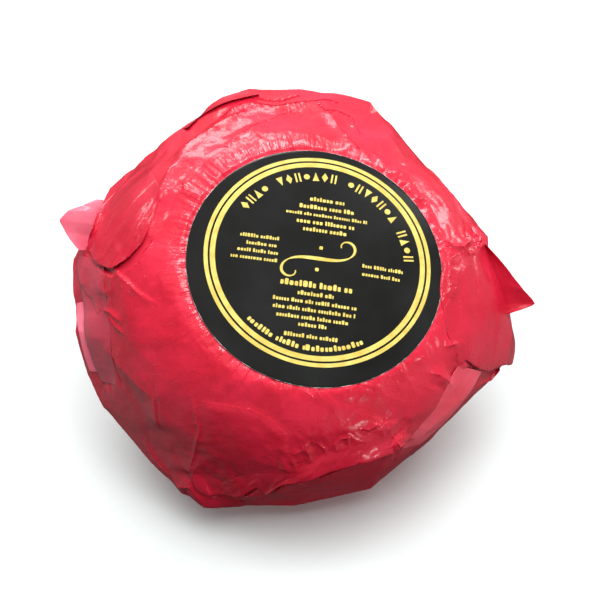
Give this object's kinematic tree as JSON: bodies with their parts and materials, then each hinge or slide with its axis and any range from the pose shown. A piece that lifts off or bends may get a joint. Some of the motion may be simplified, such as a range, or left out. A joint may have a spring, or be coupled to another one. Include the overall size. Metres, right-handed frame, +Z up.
{
  "type": "film-wrapped ball of cheese",
  "caption": "Flat-topped ball of cheese shut in crumpled red film, with a large round black label on its top, lying tipped towards the viewer.",
  "frame": {"origin": "middle of the bounding box's underside, on the surface that the ball rests on", "axes": "+Z up; the label faces forwards, towards -Y, and up; +X is the viewer's right"},
  "size_m": [0.1748, 0.1426, 0.1216],
  "materials": {
    "film": "thin glossy red cellophane, creased, a little clear where it stands off the cheese",
    "label": "satin black paper, printed in pale yellow"
  },
  "bodies": {
    "root": {"wrapped_cheese": "film", "label": "label"}
  },
  "joints": []
}
